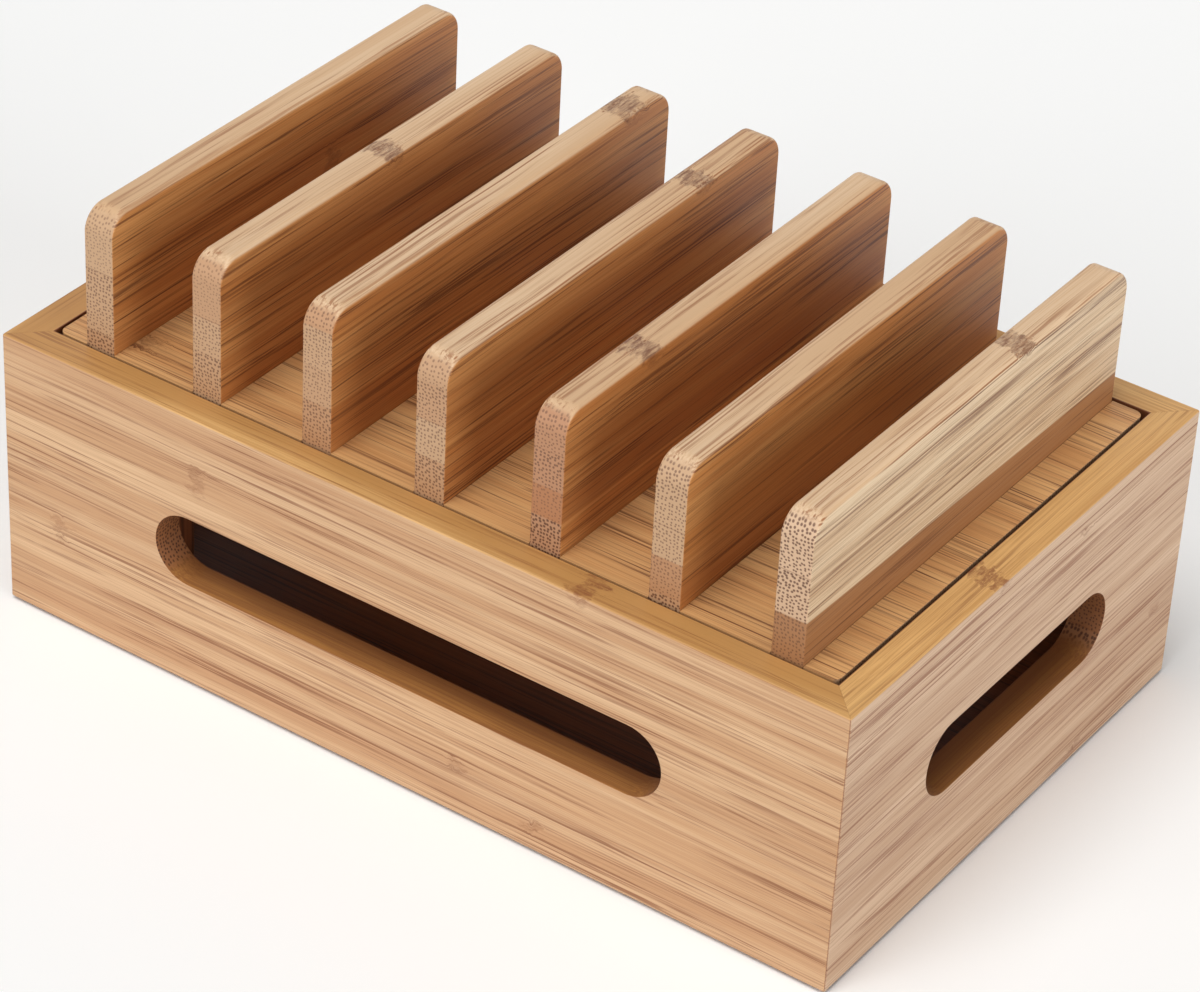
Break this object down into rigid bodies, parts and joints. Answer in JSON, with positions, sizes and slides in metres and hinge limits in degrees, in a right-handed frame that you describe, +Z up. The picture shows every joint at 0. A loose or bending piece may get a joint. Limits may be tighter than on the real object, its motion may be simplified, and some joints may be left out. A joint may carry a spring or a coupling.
{
  "type": "charging station organizer",
  "caption": "Mitred bamboo box with obround cable slots and a lift-off lid that carries a row of upright dividers for phones and tablets.",
  "frame": {"origin": "under the middle of the box, on the surface that it stands on", "axes": "+X to the right along the box's length, +Y from the front towards the rear, +Z up"},
  "size_m": [0.312, 0.2, 0.15],
  "materials": {
    "bamboo_board": "laminated bamboo, sanded, thin satin lacquer",
    "bamboo_lid": "laminated bamboo, sanded, thin satin lacquer",
    "bamboo_divider": "laminated bamboo with open end grain, sanded, thin satin lacquer",
    "bamboo_inner": "bamboo, sanded, bare",
    "screw_steel": "bright zinc plated",
    "foot_rubber": "matt"
  },
  "bodies": {
    "box": {"front_board": "bamboo_board", "rear_board": "bamboo_board", "left_board": "bamboo_board", "right_board": "bamboo_board", "floor_panel": "bamboo_inner", "post_front_left": "bamboo_inner", "post_front_right": "bamboo_inner", "post_rear_left": "bamboo_inner", "post_rear_right": "bamboo_inner", "foot_front_left": "foot_rubber", "foot_front_right": "foot_rubber", "foot_rear_left": "foot_rubber", "foot_rear_right": "foot_rubber"},
    "lid": {"lid_panel": "bamboo_lid", "divider_1": "bamboo_divider", "divider_2": "bamboo_divider", "divider_3": "bamboo_divider", "divider_4": "bamboo_divider", "divider_5": "bamboo_divider", "divider_6": "bamboo_divider", "divider_7": "bamboo_divider", "divider_screws": "screw_steel"}
  },
  "joints": [
    {"name": "lid_lift", "type": "slide", "parent": "box", "child": "lid", "axis": [0, 0, 1], "range_m": [0, 0.08]}
  ]
}
